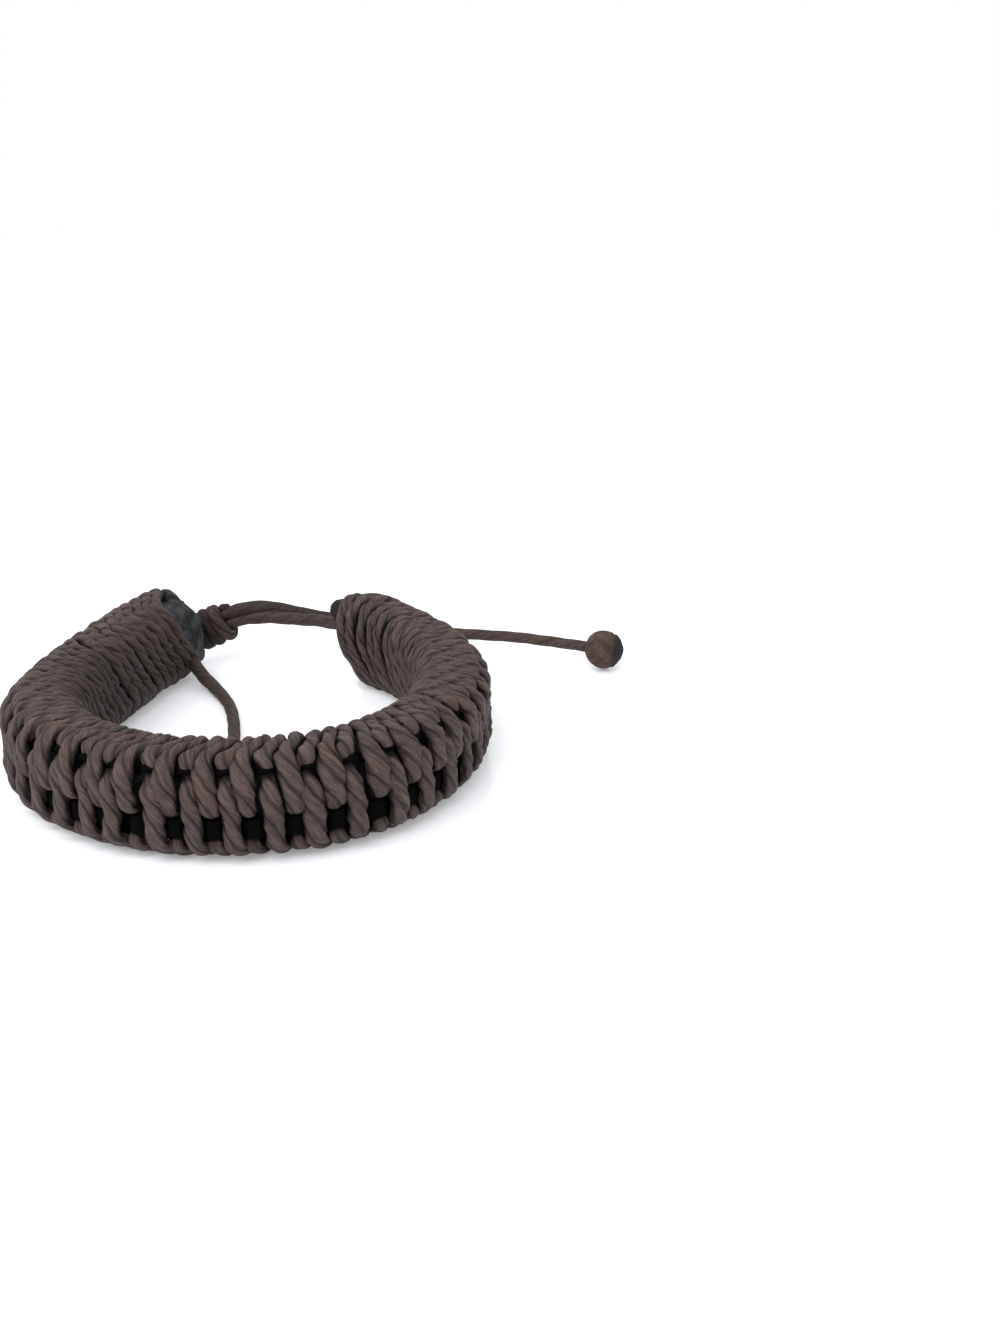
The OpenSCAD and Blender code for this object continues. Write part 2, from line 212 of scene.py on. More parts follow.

# The sliding knot: its ends, how far above and below its middle the two cords lie and how far past its ends
# they run straight, and its turns, with the wrapping cord's half thickness and half width. Its painted shade,
# heaviest on its first turns, and how far in it is tucked are by place in turns
KNOT_FROM = (-10.7, 45.0, 5.5)
KNOT_TO = (-4.3, 44.1, 8.3)
TIE_OFFSET = 0.96
PAST_LEFT, PAST_RIGHT = 0.3, 1.2
KNOT_TURNS = 3
KNOT_STEPS = 60
KNOT_PITCH = 2.15
KNOT_HALF_W, KNOT_HALF_H = 1.9, 2.95
KNOT_THICK, KNOT_WIDE = 1.0, 1.3
KNOT_PAINTED_SHADE = [(0.0, 0.92), (1.3, 0.84), (2.1, 0.5)]
KNOT_TUCK = [(0, 0.7), (0.15, 1), (KNOT_TURNS - 0.15, 1), (KNOT_TURNS, 0.7)]

# The routes of the closure's cords
CLOSING_ROUTE = [
    (16.8, 31.7, 9.2), (15.6, 33.1, 9.3), (14.2, 34.4, 9.3), (12.3, 36.2, 9.3), (9.4, 38.2, 9.1),
    (6.5, 39.8, 9.0), (4.0, 41.0, 9.0), (1.2, 42.1, 8.8),
]
RIGHT_TAIL_ROUTE = [
    (-0.6, 43.4, 10.3), (2.3, 42.8, 10.45), (5.2, 42.3, 10.15), (8.1, 41.5, 9.7), (11.0, 40.5, 9.2),
    (13.9, 39.6, 8.8), (17.0, 38.6, 8.3), (20.5, 37.5, 7.6), (24.5, 36.4, 7.1), (29.5, 35.2, 6.8),
    (34.5, 34.2, 6.4), (39.5, 33.4, 6.1), (44.5, 32.8, 5.7), (49.0, 32.2, 5.3), (53.0, 31.4, 4.8),
    (57.0, 30.1, 4.4), (60.9, 28.3, 4.1),
]
LEFT_TAIL_ROUTE = [
    (-11.0, 32.4, 3.6), (-10.3, 30.6, 2.9), (-9.3, 28.4, 2.2), (-8.2, 26.2, 1.7), (-7.2, 24.0, 1.4),
    (-6.4, 21.8, 1.2), (-5.6, 19.4, 1.1), (-4.5, 14.2, 1.05), (-4.0, 9.0, 1.05), (-3.8, 4.0, 1.05),
    (-3.8, -1.0, 1.05), (-3.8, -6.0, 1.05), (-3.8, -9.6, 1.3), (-3.8, -12.0, 2.1), (-3.8, -13.8, 2.7),
    (-3.8, -15.3, 3.0),
]
LEFT_TAIL_UNDER = 2.4

# The ball knots: how far a cord's end is from its ball and runs on into it. In a ball's radii, the middle and
# width along its axis of its groove and of its ridge, the ridge's height as a share of the groove's depth and
# that depth, and where its fused cap begins and how much further on it is full
BALL_D = 7.4
BALL_NECK = 0.3
INTO_BALL = 0.6
BALL_GROOVE = (0.42, 0.09)
BALL_RIDGE = (0.58, 0.1)
RIDGE_SHARE = 0.35
GROOVE_DEPTH = 0.04
FUSED_CAP = (0.2, 0.45)

# What multiplies the cord's colour where it is painted dark (painted shade in grooves, at strands' sides,
# under laces, on the inner face and in the knot, and the closure's darkening), in dull streaks and in bright
# streaks, and a fused cap's colour
PAINTED_DARK_TINT = (0.13, 0.10, 0.09, 1.0)
DULL_TINT = (0.5, 0.48, 0.48, 1.0)
BRIGHT_TINT = (1.5, 1.5, 1.5, 1.0)
FUSED_COLOUR = (0.014, 0.012, 0.012, 1.0)

# The materials of the winding and of the closure: name, how much of the cord has greyed, and how light it is
WINDING_LOOK = ("waxed_winding_cord", 0.9, 1.0)
TIE_LOOK = ("tie_cord", 0.4, 0.85)

# The camera: its place, its right and up directions, its lens, and how far round it is turned
CAMERA_AT = (2.7, -211.06, 82.11)
CAMERA_RIGHT = (0.9748, -0.2232, 0.0)
CAMERA_UP = (0.0706, 0.3085, 0.9486)
CAMERA_LENS = 37.04
CAMERA_PAN = 2.9

# The studio, in metres: the lamp's place and size, the floor's size, and how much the floor glows of itself
LAMP_AT = (-0.28, -0.26, 0.52)
LAMP_W, LAMP_H = 0.7, 0.5
FLOOR_SIZE = 8.0
FLOOR_GLOW = 0.22
WHITE = (1.0, 1.0, 1.0, 1.0)


class BraceletSizes(PropertyGroup):
    """Sizes of the cord and of its irregularities."""

    twist: FloatProperty(
        name="Twist",
        description="Length of winding cord in which its plies turn once round",
        default=0.0115,
        min=0.004,
        max=0.03,
        unit="LENGTH",
    )
    tie_twist: FloatProperty(
        name="Closing cord twist",
        description="Length of closing cord in which its plies turn once round",
        default=0.014,
        min=0.004,
        max=0.05,
        unit="LENGTH",
    )
    groove: FloatProperty(
        name="Groove",
        description="Depth of the grooves between plies, as a share of the cord's radius",
        default=0.2,
        min=0.0,
        max=0.4,
        subtype="FACTOR",
    )
    wander: FloatProperty(
        name="Wander",
        description="How far a turn of the winding strays from its even place",
        default=0.00021,
        min=0.0,
        max=0.0004,
        unit="LENGTH",
    )
    sides: IntProperty(
        name="Sides",
        description="Faces round the winding cord, in threes for its three plies",
        default=18,
        min=12,
        max=24,
    )


class BraceletColours(PropertyGroup):
    """Colours of the cord, the laces and the core."""

    cord: FloatVectorProperty(
        name="Cord", description="Brown of the waxed cord", subtype="COLOR", default=(0.080, 0.048, 0.040)
    )
    cord_grey: FloatVectorProperty(
        name="Greyed cord",
        description="Colour of the cord where its wax has greyed",
        subtype="COLOR",
        default=(0.055, 0.042, 0.040),
    )
    lace: FloatVectorProperty(
        name="Lace", description="Black of the leather laces", subtype="COLOR", default=(0.002, 0.002, 0.002)
    )
    core: FloatVectorProperty(
        name="Core", description="Dark colour of the core", subtype="COLOR", default=(0.011, 0.011, 0.013)
    )
    core_worn: FloatVectorProperty(
        name="Worn core",
        description="Colour of the core where it is rubbed",
        subtype="COLOR",
        default=(0.054, 0.056, 0.062),
    )
    floor: FloatVectorProperty(
        name="Floor", description="Colour of the floor", subtype="COLOR", default=(0.86, 0.88, 0.92)
    )


class BraceletStage(PropertyGroup):
    """The studio's light."""

    surround: FloatProperty(
        name="Surround", description="Brightness of the white surround", default=1.0, min=0.0
    )
    overhead: FloatProperty(
        name="Overhead light",
        description="Power of the soft light overhead",
        default=3.2,
        min=0.0,
        unit="POWER",
    )


def settings():
    """The add-on's own settings, kept on the scene."""
    scene = bpy.context.scene
    return scene.bracelet_sizes, scene.bracelet_colours, scene.bracelet_stage


class Value:
    """A number in a shader. Python's operators on it add Math nodes."""

    def __init__(self, shade, output):
        self.shade = shade
        self.output = output

    def math(self, operation, first, second):
        node = self.shade.node("ShaderNodeMath", {"operation": operation}, {0: first, 1: second})
        return Value(self.shade, node.outputs[0])

    def __add__(self, other):
        return self.math("ADD", self, other)

    def __radd__(self, other):
        return self.math("ADD", other, self)

    def __rsub__(self, other):
        return self.math("SUBTRACT", other, self)

    def __mul__(self, other):
        return self.math("MULTIPLY", self, other)


class Shade:
    """A material and its nodes."""

    def __init__(self, name):
        self.material = bpy.data.materials.new(name)
        self.material.use_nodes = True
        self.tree = self.material.node_tree
        self.surface = self.tree.nodes["Principled BSDF"]

    def node(self, kind, options, values):
        """Adds a node: its options are set first, and then the values or links of its sockets."""
        node = self.tree.nodes.new(kind)
        for name, setting in options.items():
            if name == "stops":
                self.set_stops(node.color_ramp, setting)
            else:
                setattr(node, name, setting)
        for socket, value in values.items():
            self.feed(node.inputs[socket], value)
        return node

    def set_stops(self, ramp, stops):
        for _ in stops[2:]:
            ramp.elements.new(0.5)
        for element, (position, level) in zip(ramp.elements, stops):
            element.position = position
            element.color = (level, level, level, 1.0)

    def feed(self, socket, value):
        if isinstance(value, Value):
            self.tree.links.new(value.output, socket)
        else:
            socket.default_value = value

    def set(self, **sockets):
        """Feeds the surface's sockets, named with underscores for spaces."""
        for name, value in sockets.items():
            self.feed(self.surface.inputs[name.replace("_", " ")], value)

    def attribute(self, name, output="Vector"):
        node = self.node("ShaderNodeAttribute", {"attribute_name": name}, {})
        return Value(self, node.outputs[output])

    def place(self):
        """Where the point is on the object, in metres."""
        return Value(self, self.node("ShaderNodeTexCoord", {}, {}).outputs["Object"])

    def scaled(self, vector, scale):
        node = self.node("ShaderNodeVectorMath", {"operation": "MULTIPLY"}, {0: vector, 1: scale})
        return Value(self, node.outputs[0])

    def noise(self, vector, scale, detail=3.0):
        values = {"Vector": vector, "Scale": scale, "Detail": detail}
        return Value(self, self.node("ShaderNodeTexNoise", {}, values).outputs["Fac"])

    def ramp(self, value, stops):
        node = self.node("ShaderNodeValToRGB", {"stops": stops}, {"Fac": value})
        return Value(self, node.outputs["Color"])

    def mix(self, factor, first, second, blend="MIX"):
        options = {"data_type": "RGBA", "blend_type": blend, "clamp_factor": True}
        node = self.node("ShaderNodeMix", options, {0: factor, 6: first, 7: second})
        return Value(self, node.outputs[2])

    def tinted(self, tone, tint):
        return self.mix(1.0, tone, tint, "MULTIPLY")

    def bump(self, height, strength, distance):
        values = {"Height": height, "Strength": strength, "Distance": distance}
        return Value(self, self.node("ShaderNodeBump", {}, values).outputs["Normal"])


def colour(value, factor=1.0):
    """A colour for a shader's socket, made darker or lighter."""
    return (*(channel * factor for channel in value), 1.0)


def waxed_cord(name, base, grey, grey_share):
    """Waxed polyester cord: streaks of fibre along its plies, painted shade in the grooves between them and
    where its groove attribute says, and a dull sheen.
    """
    shade = Shade(name)
    place = shade.attribute("cord_place")
    groove = shade.attribute("groove", "Fac")
    fibres = shade.noise(shade.scaled(place, (5.0, 5.0, 0.9)), 1.0, 4.0)
    strands = shade.noise(shade.scaled(place, (2.0, 2.0, 0.3)), 1.0, 2.0)
    patches = shade.noise(shade.scaled(place, (0.5, 0.5, 0.045)), 1.0, 2.0)
    greyed = shade.ramp(patches, [(0.5 - grey_share * 0.25, 0.0), (0.72, 1.0)])
    tone = shade.mix(greyed, colour(base), colour(grey))
    streaks = fibres * 0.6 + strands * 0.4
    light = shade.ramp(streaks, [(0.36, 0.0), (0.64, 1.0)])
    tone = shade.mix(light, shade.tinted(tone, DULL_TINT), shade.tinted(tone, BRIGHT_TINT))
    # Painted dark where the groove attribute says: painted shade in the ply grooves, at strands' sides, under
    # laces, on the inner face and in the knot, and the closure cords' darkening
    dark = shade.ramp(groove * (0.5 + strands), [(0.3, 0.0), (1.0, 1.0)])
    shade.set(
        Base_Color=shade.mix(dark, tone, shade.tinted(tone, PAINTED_DARK_TINT)),
        Roughness=0.68 - light * 0.14,
        Specular_IOR_Level=0.25,
        Normal=shade.bump(streaks, 1.0, 0.00045),
    )
    return shade.material


def black_leather(name, base):
    """Smooth black leather with a fine grain."""
    shade = Shade(name)
    grain = shade.noise(shade.place(), 2600.0, 3.0)
    shade.set(
        Base_Color=shade.mix(grain, colour(base, 0.6), colour(base, 1.6)),
        Roughness=0.7 + grain * 0.2,
        Specular_IOR_Level=0.02,
        Normal=shade.bump(grain, 0.4, 0.00008),
    )
    return shade.material


def core_leather(name, base, worn):
    """Black leather rubbed to a patchy blue grey, with a rough nap."""
    shade = Shade(name)
    place = shade.place()
    blotches = shade.noise(place, 420.0, 3.0)
    nap = shade.noise(place, 1800.0, 3.0)
    rough = blotches * 0.6 + nap * 0.4
    rubbed = shade.ramp(rough, [(0.42, 0.0), (0.62, 1.0)]) * shade.attribute("worn", "Fac")
    shade.set(
        Base_Color=shade.mix(rubbed, colour(base), colour(worn)),
        Roughness=0.8 - rubbed * 0.1,
        Specular_IOR_Level=0.25,
        Normal=shade.bump(rough, 1.0, 0.0005),
    )
    return shade.material


def ball_finish(name, base):
    """A knot of cord pulled tight and fused: felted brown, darker past its ridge."""
    shade = Shade(name)
    place = shade.place()
    nap = shade.noise(place, 3200.0, 4.0)
    blotches = shade.noise(place, 700.0, 2.0)
    fused = shade.attribute("fused", "Fac")
    light = shade.ramp(nap * 0.4 + blotches * 0.6, [(0.4, 0.0), (0.6, 1.0)])
    tone = shade.mix(light, colour(base, 0.55), colour(base, 1.2))
    shade.set(
        Base_Color=shade.mix(fused, tone, FUSED_COLOUR),
        Roughness=0.85 - fused * 0.15,
        Specular_IOR_Level=0.2,
        Normal=shade.bump(nap * 0.6 + blotches * 0.4, 0.6, 0.00015),
    )
    return shade.material


def floor_finish(name, base):
    """Pale floor with a faint soft reflection, which glows a little."""
    shade = Shade(name)
    haze = shade.noise(shade.place(), 9.0, 2.0)
    shade.set(
        Base_Color=shade.mix(haze, colour(base, 0.99), colour(base, 1.01)),
        Roughness=0.16 + haze * 0.06,
        Emission_Color=WHITE,
        Emission_Strength=FLOOR_GLOW,
    )
    return shade.material


def interp(x, table):
    """Values of a short table at places x, as a straight line between its rows."""
    keys, values = zip(*table)
    return np.interp(x, keys, values)


def unit(vectors):
    return vectors / np.linalg.norm(vectors, axis=-1, keepdims=True)


def even_curve(rows, steps):
    """The smooth line through the rows that the frame's own band follows."""
    rows = np.array(rows, float)
    rows = np.concatenate([[2 * rows[0] - rows[1]], rows, [2 * rows[-1] - rows[-2]]])
    t = (np.arange(steps) / steps)[:, None]
    spans = []
    for a, b, c, d in zip(rows[:-3], rows[1:-2], rows[2:-1], rows[3:]):
        bend = (2 * a - 5 * b + 4 * c - d) * t * t + (3 * b - a - 3 * c + d) * t ** 3
        spans.append(0.5 * (2 * b + (c - a) * t + bend))
    return np.concatenate([*spans, rows[-2:-1]])


def distances(line):
    """How far along a line each of its points is."""
    return np.concatenate([[0], np.cumsum(np.linalg.norm(np.diff(line, axis=0), axis=1))])


LINE = even_curve(MIDDLE, SPAN_STEPS)
ALONG = distances(LINE)
LENGTH = ALONG[-1]


def turns_along(k):
    """How many of the narrower turns' room turn k is from the first."""
    from_arm = max(k - ARM_TURN, 0)
    from_wide = max(k - TURNS + WIDE_TURNS + 1, 0)
    return k + WIDEN_LEFT * min(k, WIDE_TURNS) + WIDEN_ARM * from_arm + WIDEN_RIGHT * from_wide


# The room of a narrow turn, and the first turn's place. The end turns' corners need room too
CORNER_ROOM = CORNER_SHARE * SKEW_LEFT + CORNER_SHARE * SKEW_RIGHT
PITCH = (LENGTH - BARE_LEFT - BARE_RIGHT) / (turns_along(TURNS - 1) + 1 + CORNER_ROOM)
START = BARE_LEFT + (CORNER_SHARE * SKEW_LEFT + 0.5) * PITCH


def turn_at(k):
    """Where turn k is on the inner face."""
    return START + PITCH * turns_along(k)


def outer_at(k):
    """Where turn k is on the outer face."""
    return turn_at(k) - float(interp(turn_at(k), LEAD))


def apart(k):
    """How far turn k is from its nearer neighbour."""
    return min(turn_at(k) - turn_at(k - 1), turn_at(k + 1) - turn_at(k))


def middle(s):
    """The band's middle line at distances s from its left end."""
    s = np.asarray(s, float)
    t = np.clip(s, 0, LENGTH)
    at = np.stack([np.interp(t, ALONG, LINE[:, axis]) for axis in range(2)], axis=-1)
    end = np.where(s[..., None] < LENGTH / 2, unit(LINE[1] - LINE[0]), unit(LINE[-1] - LINE[-2]))
    return at + (s - t)[..., None] * end


def outward(s):
    """The way out of the wrist opening at distances s along the band."""
    way = unit(middle(s + 1) - middle(s - 1))
    return np.stack([way[..., 1], -way[..., 0]], axis=-1)


def place(s, w, z):
    """Points s along the band, w outward from its middle and z above the middle of its height."""
    rise = interp(s, RISE_LEFT) + interp(LENGTH - s, RISE_RIGHT)
    flat = middle(s) + np.asarray(w)[..., None] * outward(s)
    return np.concatenate([flat, (BAND_H / 2 + z + np.maximum(z, 0) * rise)[..., None]], axis=-1)


def smooth(rows, step):
    """Points about step apart on a curve through rows, which doesn't overshoot short spans."""
    rows = np.array(rows, float)
    rows = np.concatenate([[2 * rows[0] - rows[1]], rows, [2 * rows[-1] - rows[-2]]])
    found = []
    for a, b, c, d in zip(rows[:-3], rows[1:-2], rows[2:-1], rows[3:]):
        sizes = [math.sqrt(max(np.linalg.norm((q - p)[:3]), 0.05)) for p, q in ((a, b), (b, c), (c, d))]
        ta, tb, tc = -sizes[0], 0.0, sizes[1]
        td = tc + sizes[2]
        steps = max(2, math.ceil(np.linalg.norm((c - b)[:3]) / step))
        t = (np.arange(steps) / steps * tc)[:, None]
        ab = (tb - t) / (tb - ta) * a + (t - ta) / (tb - ta) * b
        bc = (tc - t) / (tc - tb) * b + (t - tb) / (tc - tb) * c
        cd = (td - t) / (td - tc) * c + (t - tc) / (td - tc) * d
        abc = (tc - t) / (tc - ta) * ab + (t - ta) / (tc - ta) * bc
        bcd = (td - t) / (td - tb) * bc + (t - tb) / (td - tb) * cd
        found.append((tc - t) / (tc - tb) * abc + (t - tb) / (tc - tb) * bcd)
    return np.concatenate([*found, rows[-2:-1]])


def new_piece(name, node, material, rings):
    """A closed tube over rings of points in millimetres."""
    mesh = bpy.data.meshes.new(name)
    mesh.from_pydata((rings.reshape(-1, 3) * MM).tolist(), [], skin_faces(*rings.shape[:2]))
    mesh.polygons.foreach_set("use_smooth", [True] * len(mesh.polygons))
    mesh.validate()
    mesh.update()
    piece = bpy.data.objects.new(name, mesh)
    bpy.context.scene.collection.objects.link(piece)
    piece.data.materials.append(material)
    return adopt(piece, node)


def adopt(piece, node):
    """Has a piece ride on the body in place of a frame node."""
    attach(piece, BODY)
    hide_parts(node)
    return piece


def skin_faces(rings, sides):
    """Faces of a closed tube over rings of points, with a cap on each end."""
    first = np.arange(rings - 1)[:, None] * sides
    here = np.arange(sides)[None, :]
    there = (here + 1) % sides
    walls = np.stack([first + here, first + there, first + there + sides, first + here + sides], axis=-1)
    caps = [list(range(sides))[::-1], list(range((rings - 1) * sides, rings * sides))]
    return walls.reshape(-1, 4).tolist() + caps


def ply_shape(sides, depth):
    """The cord's section by column: its angles, its radius as a share, and how deep in a groove it is."""
    angle = 2 * math.pi * np.arange(sides) / sides
    lobe = np.abs(np.cos(PLIES / 2 * angle)) ** PLY_POWER
    return angle, 1 - depth * (1 - lobe), 1 - lobe


def new_cord(name, node, slot, material, points, length, angle, dark):
    """A piece of cord, which stores each point's place round and along the cord, and how dark it is painted
    (painted shade and darkening).
    """
    piece = new_piece(name, node, material, points)
    where = np.empty(points.shape)
    where[:, :, 0] = np.cos(angle)
    where[:, :, 1] = np.sin(angle)
    where[:, :, 2] = length[:, None]
    data = piece.data.attributes.new("cord_place", "FLOAT_VECTOR", "POINT")
    data.data.foreach_set("vector", where.ravel())
    data = piece.data.attributes.new("groove", "FLOAT", "POINT")
    data.data.foreach_set("value", dark.ravel())


def fade(x, start, over):
    """Nought up to start and one from over past it."""
    return np.clip((x - start) / over, 0.0, 1.0)


def hump(x, centre, width):
    """A smooth hump, one high at its centre."""
    return math.exp(-(((x - centre) / width) ** 2))


def strays(seed, shape, size):
    """Seeded random numbers about nought."""
    return np.random.default_rng(seed).normal(0.0, size, shape).clip(-2 * size, 2 * size)


def skew_at(s):
    """How far a strand at s moves along on its way to a corner, in millimetres."""
    return float(interp(s, SKEW)) * PITCH


def face_lean(z):
    """How far along a strand is at height z on the outer face, in millimetres."""
    return float(interp(z, FACE_LEAN)) * PITCH


def is_plain(k):
    return k < PLAIN_TURNS or k > TURNS - 1 - PLAIN_TURNS


def ducks_upper(k):
    return not is_plain(k) and k % 2 == 1


def ducks_lower(k):
    return not is_plain(k) and k % 2 == 0


def face_rows(k):
    """Places of a strand down the outer face: outward, up, and its width as a share of its room."""
    if ducks_upper(k):
        return UPPER_DUCK
    return LOWER_DUCK if ducks_lower(k) else NO_DUCK


def turn_rows(k, stray):
    """One turn of the winding, up the inner face and over, down the outer face and under.

    Each row is a place along, outward and up, the width there as a share of its room, and that room. The
    strays are of the turn along the band, of its middles on the inner and outer faces, and of its width."""
    along, inner_stray, outer_stray = stray[:3]
    wider = STRAY_WIDTH * stray[3]
    s = turn_at(k) + along
    outer = outer_at(k) + along
    skew = skew_at(s)
    after = turn_at(k + 1)
    bend = float(interp(LENGTH - s, INNER_BEND))
    corner = END_CORNER if k > TURNS - PLAIN_TURNS else CORNER
    foot = CORD_OUT - interp(s, LOW_EDGE)
    share = 1.0 + wider
    over = max(share, float(interp(k, TOP_WIDTH)))
    inner = share * float(interp(LENGTH - s, INNER_WIDTH))
    rows = [
        (s - FACE_SHARE * skew, -CORD_OUT, -FACE_TOP, inner),
        (s + bend * skew + inner_stray, -CORD_OUT - BULGE, 0.0, inner),
        (s + FACE_SHARE * skew, -CORD_OUT, FACE_TOP, inner),
        (s + CORNER_SHARE * skew, CORNER - CORD_OUT, CORD_UP, over),
        (outer - EDGE_BACK * PITCH, CORD_OUT - corner, CORD_UP, over),
    ]
    rows += [(outer + face_lean(z) + outer_stray, w, z, width + wider) for w, z, width in face_rows(k)]
    rows.append((outer + FOOT_LEAN * PITCH, foot, -CORD_UP, FOOT_WIDTH))
    if k < TURNS - 1:
        rows.append((after - CORNER_SHARE * skew_at(after), CORNER - CORD_OUT, -CORD_UP, share))
    else:
        last, last_w, last_width = LAST_FOOT
        rows.append((outer + last * PITCH, last_w, -CORD_UP, last_width))
    return [(*row, apart(k)) for row in rows]


def depth_inside(w, z):
    """How far a strand's middle is inside its usual way round the band, in millimetres."""
    w, z = np.abs(w) - CORD_OUT + CORNER, np.abs(z) - CORD_UP + CORNER
    beside = np.maximum(w, z)
    round_corner = np.hypot(np.maximum(w, 0), np.maximum(z, 0))
    return CORNER - np.where((w > 0) & (z > 0), round_corner, beside)


def ply_lumps(angle, length):
    """How far each ply swells or shrinks along the cord, as a share of the cord's radius."""
    spots = np.arange(0.0, length[-1] + PLY_LUMP_STEP, PLY_LUMP_STEP)
    swell = strays(LUMPS_SEED, (PLIES, len(spots)), PLY_LUMPS)
    plies = np.array([np.interp(length, spots, row) for row in swell])
    return plies[np.round(angle * PLIES / (2 * math.pi)).astype(int) % PLIES].T


def winding_points(rows, sides, twist, depth):
    """Rings of the winding cord along its route, its section lying along the band."""
    route = smooth(rows, WINDING_STEP)
    route[:, 2] = np.clip(route[:, 2], -CORD_UP, CORD_UP + OVERSHOOT)
    s, w, z, share, room = route.T
    way = np.gradient(route[:, 1:3], axis=0)
    way = unit(np.where(np.linalg.norm(way, axis=1, keepdims=True) < 1e-6, [0.0, 1.0], way))
    length = distances(place(s, w, z))
    angle, radius, groove = ply_shape(sides, depth)
    radius = radius + ply_lumps(angle, length)
    turned = angle[None, :] + 2 * math.pi * length[:, None] / twist
    out = CORD_D / 2 * radius * np.cos(turned)
    side = radius * np.sin(turned) * (share * room / 2)[:, None]
    points = place(s[:, None] + side, w[:, None] - way[:, 1:] * out, z[:, None] + way[:, :1] * out)
    points[:, :, 2] = np.clip(points[:, :, 2], 0.0, HIGHEST)
    # Painted shade: at a strand's sides where it meets its neighbours, where it ducks under a lace, on the
    # inner face, and in the ply grooves
    beside = fade(np.abs(np.sin(turned)), *SIDE_SHADE)
    darkening = np.maximum(fade(depth_inside(w, z), *DUCK_SHADE), np.where(w < 0, interp(s, INNER_PAINTED_SHADE), 0.0))
    dark = np.maximum(PLY_SHADE * groove[None, :], darkening[:, None])
    return points, length, angle, np.maximum(dark, beside)


def make_winding(name, node, turns, first_rows):
    """One length of the winding cord, which begins with the first rows."""
    sizes, _, _ = settings()
    strayed = strays(WANDER_SEED, TURNS * 4, sizes.wander / MM).reshape(-1, 4)
    rows = [*first_rows, *(row for k in turns for row in turn_rows(k, strayed[k]))]
    found = winding_points(rows, sizes.sides, sizes.twist / MM, sizes.groove)
    new_cord(name, node, "wrap_cord", cord_material(*WINDING_LOOK), *found)


def tube_points(line, radius, twist, depth):
    """Rings of a twisted cord along a line in space, with a radius for each point."""
    ahead = unit(np.gradient(line, axis=0))
    side = unit(np.cross(ahead[0], (0, 0, 1)))
    sides_at = []
    for way in ahead:
        side = side - way * np.dot(side, way)
        side = side / np.linalg.norm(side)
        sides_at.append(side)
    across = np.array(sides_at)
    up = np.cross(across, ahead)
    length = distances(line)
    angle, share, groove = ply_shape(TIE_SIDES, depth)
    turned = angle[None, :] + 2 * math.pi * length[:, None] / twist
    ring = across[:, None] * np.cos(turned)[..., None] + up[:, None] * np.sin(turned)[..., None]
    return line[:, None] + ring * (radius[:, None] * share)[..., None], length, angle, groove


def make_tie(name, node, line, radius, darkening):
    """A twisted cord of the closure, which follows a line and is painted darker as the darkening says, with
    painted shade in its ply grooves.
    """
    sizes, _, _ = settings()
    points, length, angle, groove = tube_points(line, radius, sizes.tie_twist / MM, sizes.groove * TIE_GROOVE)
    points[:, :, 2] = np.maximum(points[:, :, 2], 0.0)
    # Painted shade in the ply grooves, with the given darkening
    darkening = np.broadcast_to(darkening, len(line))[:, None]
    dark = np.maximum(groove[None, :] * TIE_PLY_SHADE, darkening)
    new_cord(name, node, "closing_cord", cord_material(*TIE_LOOK), points, length, angle, dark)


def knot_frame():
    """The sliding knot's ends, and its way, side and up directions."""
    start, end = np.array(KNOT_FROM), np.array(KNOT_TO)
    way = unit(end - start)
    side = unit(np.cross(way, (0, 0, 1)))
    return start, end, way, side, np.cross(side, way)


def closing_line():
    """The lower cord, from the core's right end over the gap and through the knot."""
    start, end, way, _, up = knot_frame()
    through = [end - TIE_OFFSET * up + PAST_RIGHT * way, start - TIE_OFFSET * up - PAST_LEFT * way]
    return smooth([*CLOSING_ROUTE, *through], TIE_STEP)


def right_tail_line():
    """The upper cord, through the knot, over the gap and out to its ball."""
    start, end, way, _, up = knot_frame()
    through = [start + TIE_OFFSET * up - PAST_LEFT * way, end + TIE_OFFSET * up + PAST_RIGHT * way]
    return with_ball_end(smooth([*through, *RIGHT_TAIL_ROUTE], TIE_STEP))


def left_tail_line():
    """The loose tail, from just under the winding out to its ball."""
    line = smooth(LEFT_TAIL_ROUTE, TIE_STEP)
    start = line[:1] - unit(line[1:2] - line[:1]) * LEFT_TAIL_UNDER
    return with_ball_end(np.concatenate([start, line]))


def with_ball_end(line):
    """The line carried on a little way into its ball."""
    return np.concatenate([line, line[-1:] + unit(line[-1:] - line[-2:-1]) * INTO_BALL])


def ball_centre(route):
    """Where a ball knot sits past the end of a tail's route, and the way that it faces."""
    end, before = np.array(route[-1]), np.array(route[-2])
    way = unit(end - before)
    radius = BALL_D / 2
    return end + way * (math.sqrt(radius ** 2 - TIE_D ** 2 / 4) + BALL_NECK), way


def cord_material(name, grey_share, factor):
    """A cord's material, made once. Only the colour that hasn't greyed is made darker or lighter."""
    _, colours, _ = settings()
    found = bpy.data.materials.get(name)
    base = [channel * factor for channel in colours.cord]
    return found or waxed_cord(name, base, colours.cord_grey, grey_share)


